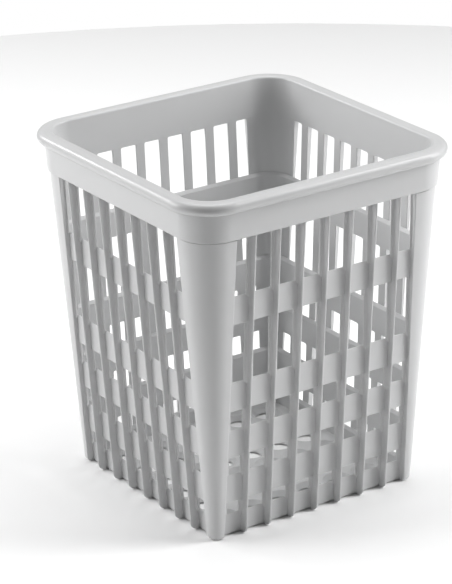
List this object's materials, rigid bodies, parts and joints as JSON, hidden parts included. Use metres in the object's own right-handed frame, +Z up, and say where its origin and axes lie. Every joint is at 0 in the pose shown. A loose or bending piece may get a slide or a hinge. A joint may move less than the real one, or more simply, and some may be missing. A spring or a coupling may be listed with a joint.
{
  "type": "wastebasket",
  "caption": "Square tapered open wastebasket with upright ribs, stepped ring bands, a rolled rim and a perforated floor, for dry paper waste.",
  "frame": {"origin": "on the floor under the middle of the basket", "axes": "+Z up; front face towards -Y, left face towards -X; the basket is the same on all four sides"},
  "size_m": [0.2794, 0.2794, 0.3185],
  "materials": {
    "moulded_plastic": "light grey moulded polypropylene, fine satin texture, semi-matte"
  },
  "bodies": {
    "root": {"rim_bead": "moulded_plastic", "collar_skirt": "moulded_plastic", "collar_wall": "moulded_plastic", "band_4": "moulded_plastic", "band_3": "moulded_plastic", "band_2": "moulded_plastic", "band_1": "moulded_plastic", "base_skirt": "moulded_plastic", "floor_grille": "moulded_plastic", "rib_front_1": "moulded_plastic", "rib_front_2": "moulded_plastic", "rib_front_3": "moulded_plastic", "rib_front_4": "moulded_plastic", "rib_front_5": "moulded_plastic", "rib_front_6": "moulded_plastic", "rib_front_7": "moulded_plastic", "rib_right_1": "moulded_plastic", "rib_right_2": "moulded_plastic", "rib_right_3": "moulded_plastic", "rib_right_4": "moulded_plastic", "rib_right_5": "moulded_plastic", "rib_right_6": "moulded_plastic", "rib_right_7": "moulded_plastic", "rib_back_1": "moulded_plastic", "rib_back_2": "moulded_plastic", "rib_back_3": "moulded_plastic", "rib_back_4": "moulded_plastic", "rib_back_5": "moulded_plastic", "rib_back_6": "moulded_plastic", "rib_back_7": "moulded_plastic", "rib_left_1": "moulded_plastic", "rib_left_2": "moulded_plastic", "rib_left_3": "moulded_plastic", "rib_left_4": "moulded_plastic", "rib_left_5": "moulded_plastic", "rib_left_6": "moulded_plastic", "rib_left_7": "moulded_plastic", "corner_post_front_left": "moulded_plastic", "corner_post_front_right": "moulded_plastic", "corner_post_back_right": "moulded_plastic", "corner_post_back_left": "moulded_plastic"}
  },
  "joints": []
}
